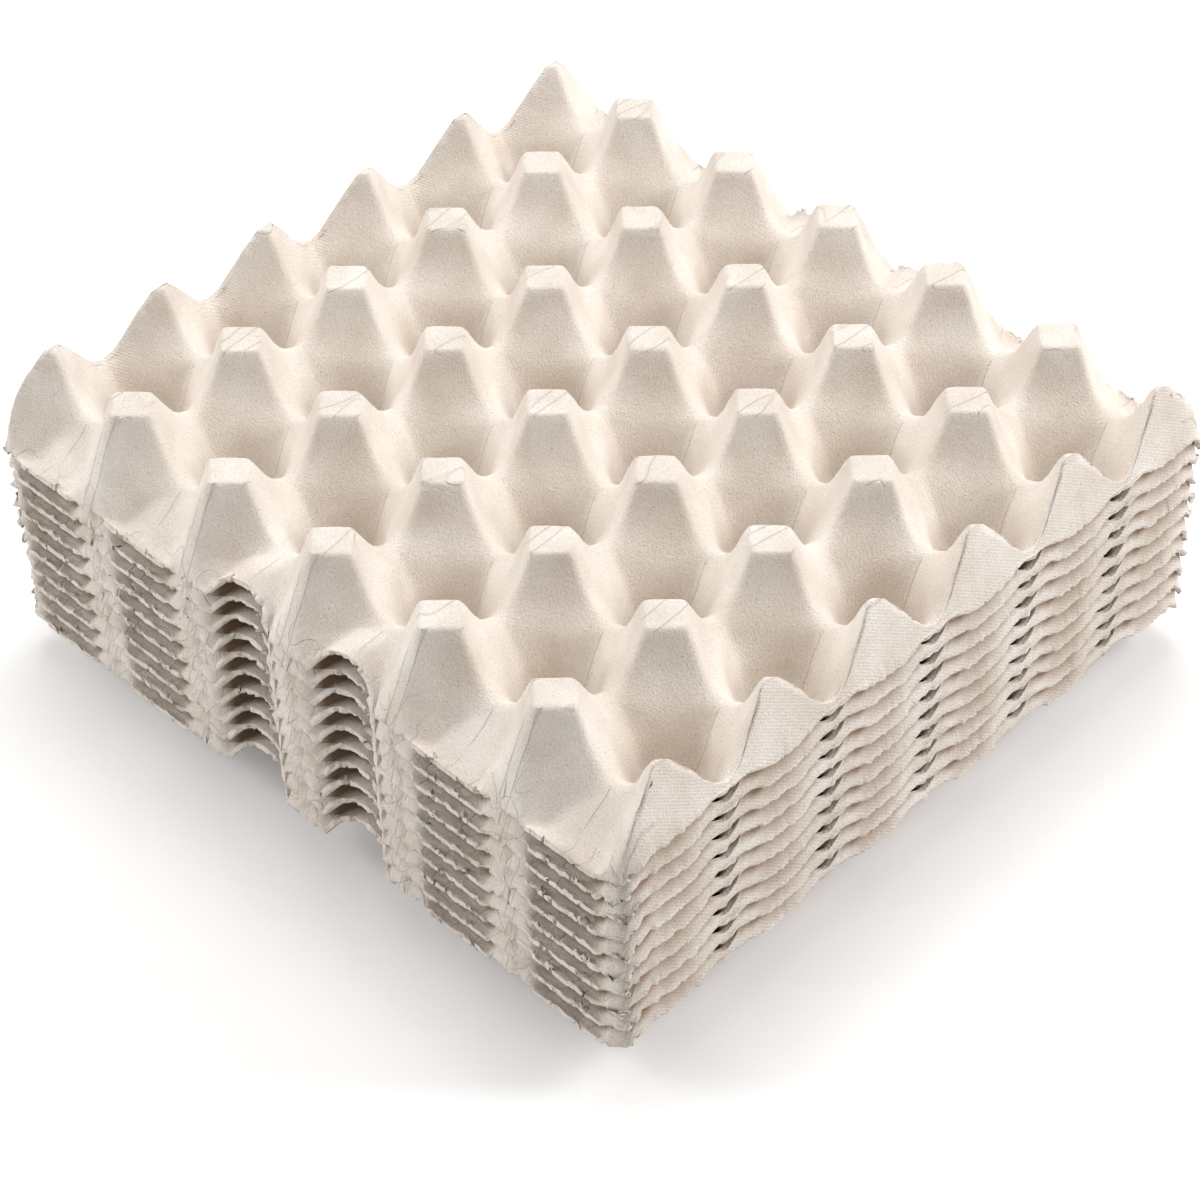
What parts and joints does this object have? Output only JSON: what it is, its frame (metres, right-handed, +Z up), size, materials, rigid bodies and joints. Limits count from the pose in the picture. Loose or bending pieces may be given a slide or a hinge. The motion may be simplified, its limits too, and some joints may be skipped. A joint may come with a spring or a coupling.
{
  "type": "stack of egg trays",
  "caption": "Nested stack of square moulded pulp egg trays with rows of cups between flat-topped posts, level rims and finger notches.",
  "frame": {"origin": "centre of the stack's bounding box on the surface it stands on", "axes": "+Z up through the stack, +X along the six cups, +Y along the five cups"},
  "size_m": [0.2932, 0.276, 0.1189],
  "materials": {
    "pulp": "matte moulded pulp, slightly fibrous"
  },
  "bodies": {
    "root": {"tray_01": "pulp", "tray_02": "pulp", "tray_03": "pulp", "tray_04": "pulp", "tray_05": "pulp", "tray_06": "pulp", "tray_07": "pulp", "tray_08": "pulp", "tray_09": "pulp", "tray_10": "pulp"}
  },
  "joints": []
}
